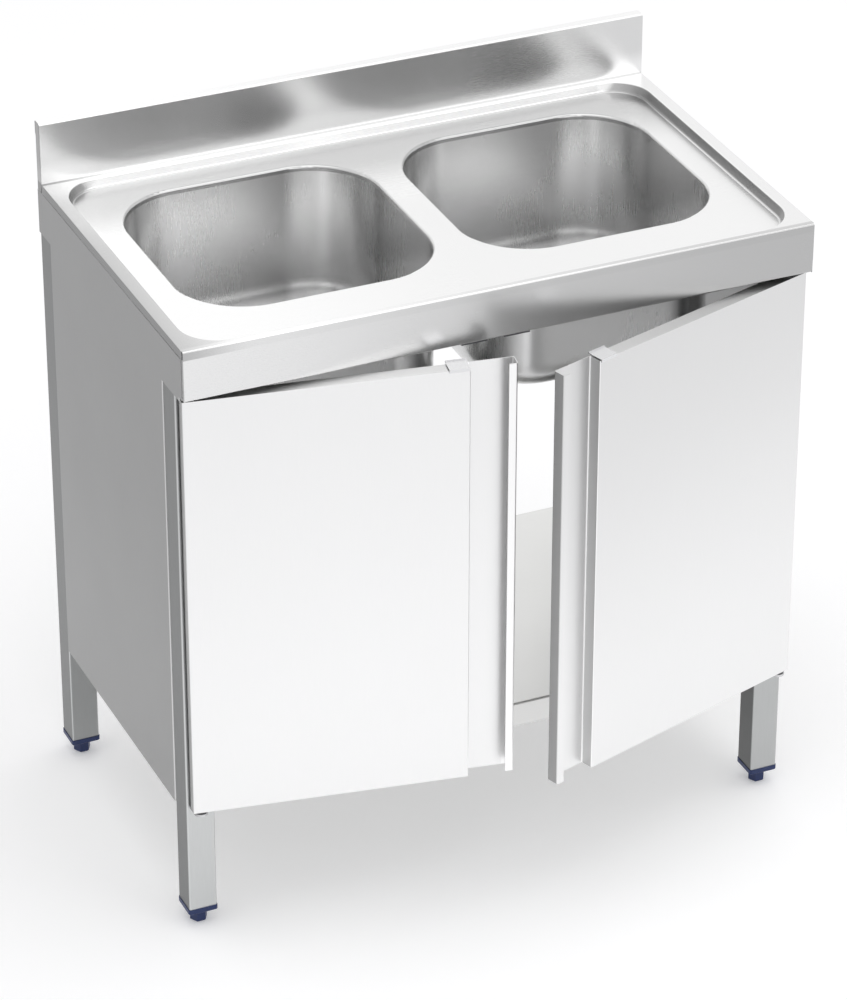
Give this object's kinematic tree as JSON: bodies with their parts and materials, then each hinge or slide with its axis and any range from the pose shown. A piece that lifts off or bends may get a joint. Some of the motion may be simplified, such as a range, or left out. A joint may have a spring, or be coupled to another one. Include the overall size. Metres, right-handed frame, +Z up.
{
  "type": "kitchen sink unit",
  "caption": "Free-standing stainless steel sink cabinet with a pressed double-bowl worktop, rear upstand, bottom shelf, swing doors and levelling feet.",
  "frame": {"origin": "on the floor under the centre of the worktop's footprint", "axes": "+X to the right seen from the front, +Y to the back, towards the wall, +Z up"},
  "size_m": [1, 0.7315, 1.11],
  "materials": {
    "worktop_steel": "satin",
    "bowl_steel": "satin",
    "cabinet_steel": "satin",
    "door_steel": "satin",
    "leg_steel": "satin",
    "fitting_steel": "polished",
    "foot_plastic": "moulded",
    "bush_plastic": "moulded",
    "waste_plastic": "moulded",
    "catch_plastic": "moulded",
    "gasket_rubber": "matt"
  },
  "bodies": {
    "carcass": {"bottom_shelf": "cabinet_steel", "bowl_left": "bowl_steel", "bowl_right": "bowl_steel", "catch_left": "catch_plastic", "catch_right": "catch_plastic", "centre_stiffener": "cabinet_steel", "leg_back_left": "leg_steel", "leg_back_right": "leg_steel", "leg_front_left": "leg_steel", "leg_front_right": "leg_steel", "pivot_lug_bottom_left": "leg_steel", "pivot_lug_bottom_right": "leg_steel", "pivot_lug_top_left": "leg_steel", "pivot_lug_top_right": "leg_steel", "plug_back_left": "foot_plastic", "plug_back_right": "foot_plastic", "plug_front_left": "foot_plastic", "plug_front_right": "foot_plastic", "shelf_rail_front": "cabinet_steel", "shelf_rail_rear": "cabinet_steel", "side_panel_left": "cabinet_steel", "side_panel_right": "cabinet_steel", "top_rail_front": "cabinet_steel", "top_rail_rear": "cabinet_steel", "upstand_end_left": "worktop_steel", "upstand_end_right": "worktop_steel", "waste_body_left": "waste_plastic", "waste_body_right": "waste_plastic", "waste_gasket_left": "gasket_rubber", "waste_gasket_right": "gasket_rubber", "waste_screw_left": "fitting_steel", "waste_screw_right": "fitting_steel", "waste_strainer_left": "fitting_steel", "waste_strainer_right": "fitting_steel", "worktop": "worktop_steel"},
    "door_left": {"door_left_bush_bottom": "bush_plastic", "door_left_bush_top": "bush_plastic", "door_left_clip": "door_steel", "door_left_liner": "door_steel", "door_left_skin": "door_steel"},
    "door_right": {"door_right_bush_bottom": "bush_plastic", "door_right_bush_top": "bush_plastic", "door_right_clip": "door_steel", "door_right_liner": "door_steel", "door_right_skin": "door_steel"},
    "foot_back_left": {"foot_back_left": "foot_plastic"},
    "foot_back_right": {"foot_back_right": "foot_plastic"},
    "foot_front_left": {"foot_front_left": "foot_plastic"},
    "foot_front_right": {"foot_front_right": "foot_plastic"}
  },
  "joints": [
    {"name": "door_left_hinge", "type": "hinge", "parent": "carcass", "child": "door_left", "pos_m": [-0.4835, -0.279, 0.57425], "axis": [0, 0, -1], "range_deg": [-9.8, 95.2]},
    {"name": "door_right_hinge", "type": "hinge", "parent": "carcass", "child": "door_right", "pos_m": [0.4835, -0.279, 0.57425], "axis": [0, 0, 1], "range_deg": [-17.6, 87.4]},
    {"name": "foot_back_left_screw", "type": "slide", "parent": "carcass", "child": "foot_back_left", "axis": [0, 0, -1], "range_m": [0, 0.02]},
    {"name": "foot_back_right_screw", "type": "slide", "parent": "carcass", "child": "foot_back_right", "axis": [0, 0, -1], "range_m": [0, 0.02]},
    {"name": "foot_front_left_screw", "type": "slide", "parent": "carcass", "child": "foot_front_left", "axis": [0, 0, -1], "range_m": [0, 0.02]},
    {"name": "foot_front_right_screw", "type": "slide", "parent": "carcass", "child": "foot_front_right", "axis": [0, 0, -1], "range_m": [0, 0.02]}
  ]
}
